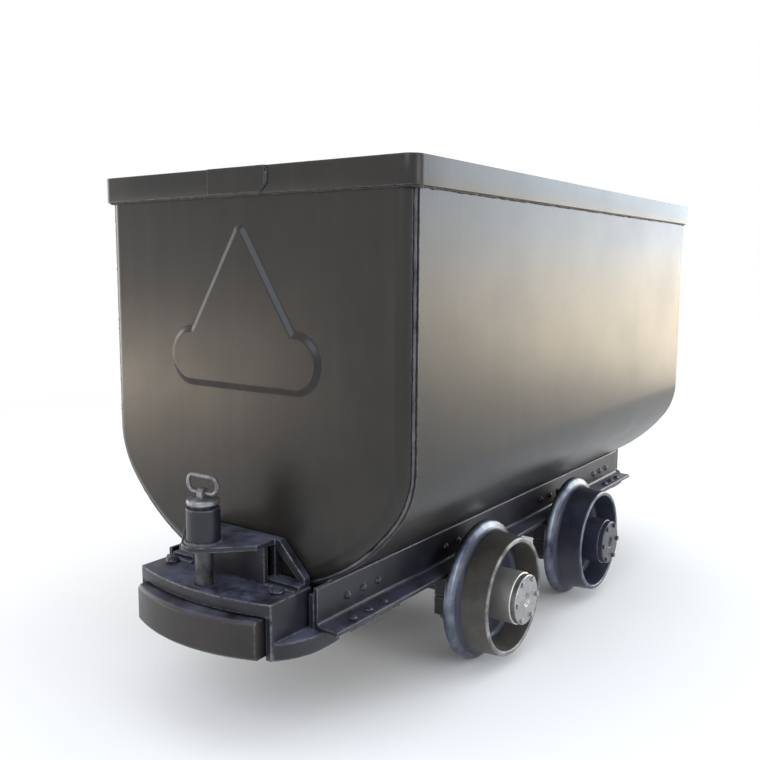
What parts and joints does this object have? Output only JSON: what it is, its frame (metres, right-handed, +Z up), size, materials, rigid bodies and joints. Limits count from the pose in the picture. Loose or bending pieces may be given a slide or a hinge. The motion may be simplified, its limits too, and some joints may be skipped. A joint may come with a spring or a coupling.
{
  "type": "mine cart",
  "caption": "Fixed-body mine car: U-shaped steel tub on riveted sills, free-turning flanged wheels, sprung buffers and lift-out coupling pins.",
  "frame": {"origin": "midway under the car, at the lowest point of the wheel flanges", "axes": "+X along the car towards its rear, +Y across it towards its right side, +Z up"},
  "size_m": [2, 0.88, 1.1749],
  "materials": {
    "tub_paint": "satin black paint",
    "frame_paint": "satin black paint",
    "wheel_iron": "dark painted casting",
    "hub_steel": "turned bare steel",
    "steel": "dull dark steel",
    "bearing_steel": "ground steel",
    "rubber": "matt black rubber"
  },
  "bodies": {
    "car": {"trough_sheet": "tub_paint", "front_end_plate": "tub_paint", "rear_end_plate": "tub_paint", "left_rim_band": "tub_paint", "right_rim_band": "tub_paint", "front_rim_splice": "tub_paint", "rear_rim_splice": "tub_paint", "left_sill": "frame_paint", "right_sill": "frame_paint", "front_saddle": "frame_paint", "rear_saddle": "frame_paint", "front_left_axle_seat": "frame_paint", "front_right_axle_seat": "frame_paint", "rear_left_axle_seat": "frame_paint", "rear_right_axle_seat": "frame_paint", "axle_keepers": "frame_paint", "sill_rivets": "frame_paint", "front_bumper_casting": "frame_paint", "front_coupler_bridge": "frame_paint", "front_pin_guide": "frame_paint", "front_deck_bolts": "frame_paint", "rear_bumper_casting": "frame_paint", "rear_coupler_bridge": "frame_paint", "rear_pin_guide": "frame_paint", "rear_deck_bolts": "frame_paint", "seat_bolts": "steel", "front_axle": "steel", "rear_axle": "steel", "axle_nuts": "steel", "bearing_cones": "bearing_steel", "front_buffer_rubber": "rubber", "rear_buffer_rubber": "rubber"},
    "front_left_wheel_set": {"front_left_wheel": "wheel_iron", "front_left_bearing_cups": "bearing_steel", "front_left_hub_seal": "rubber", "front_left_hub_cap": "hub_steel", "front_left_cap_bolts": "hub_steel"},
    "front_right_wheel_set": {"front_right_wheel": "wheel_iron", "front_right_bearing_cups": "bearing_steel", "front_right_hub_seal": "rubber", "front_right_hub_cap": "hub_steel", "front_right_cap_bolts": "hub_steel"},
    "rear_left_wheel_set": {"rear_left_wheel": "wheel_iron", "rear_left_bearing_cups": "bearing_steel", "rear_left_hub_seal": "rubber", "rear_left_hub_cap": "hub_steel", "rear_left_cap_bolts": "hub_steel"},
    "rear_right_wheel_set": {"rear_right_wheel": "wheel_iron", "rear_right_bearing_cups": "bearing_steel", "rear_right_hub_seal": "rubber", "rear_right_hub_cap": "hub_steel", "rear_right_cap_bolts": "hub_steel"},
    "front_pin": {"front_coupling_pin": "steel"},
    "front_ring": {"front_pin_ring": "steel"},
    "front_buffer": {"front_buffer_head": "frame_paint", "front_stem_nuts": "steel"},
    "rear_pin": {"rear_coupling_pin": "steel"},
    "rear_ring": {"rear_pin_ring": "steel"},
    "rear_buffer": {"rear_buffer_head": "frame_paint", "rear_stem_nuts": "steel"}
  },
  "joints": [
    {"name": "front_left_wheel_turn", "type": "hinge", "parent": "car", "child": "front_left_wheel_set", "pos_m": [-0.275, -0.335, 0.175], "axis": [0, 1, 0], "continuous": true},
    {"name": "front_right_wheel_turn", "type": "hinge", "parent": "car", "child": "front_right_wheel_set", "pos_m": [-0.275, 0.335, 0.175], "axis": [0, 1, 0], "continuous": true},
    {"name": "rear_left_wheel_turn", "type": "hinge", "parent": "car", "child": "rear_left_wheel_set", "pos_m": [0.275, -0.335, 0.175], "axis": [0, 1, 0], "continuous": true},
    {"name": "rear_right_wheel_turn", "type": "hinge", "parent": "car", "child": "rear_right_wheel_set", "pos_m": [0.275, 0.335, 0.175], "axis": [0, 1, 0], "continuous": true},
    {"name": "front_pin_lift", "type": "slide", "parent": "car", "child": "front_pin", "axis": [0, 0, 1], "range_m": [0, 0.11]},
    {"name": "front_ring_tip", "type": "hinge", "parent": "front_pin", "child": "front_ring", "pos_m": [-0.929, 0, 0.5143], "axis": [0, 1, 0], "range_deg": [-90, 90]},
    {"name": "front_buffer_push", "type": "slide", "parent": "car", "child": "front_buffer", "axis": [1, 0, 0], "range_m": [0, 0.012], "stiffness_N_per_m": 200000, "deforming": ["front_buffer_rubber"]},
    {"name": "rear_pin_lift", "type": "slide", "parent": "car", "child": "rear_pin", "axis": [0, 0, 1], "range_m": [0, 0.11]},
    {"name": "rear_ring_tip", "type": "hinge", "parent": "rear_pin", "child": "rear_ring", "pos_m": [0.929, 0, 0.5143], "axis": [0, 1, 0], "range_deg": [-90, 90]},
    {"name": "rear_buffer_push", "type": "slide", "parent": "car", "child": "rear_buffer", "axis": [-1, 0, 0], "range_m": [0, 0.012], "stiffness_N_per_m": 200000, "deforming": ["rear_buffer_rubber"]}
  ]
}
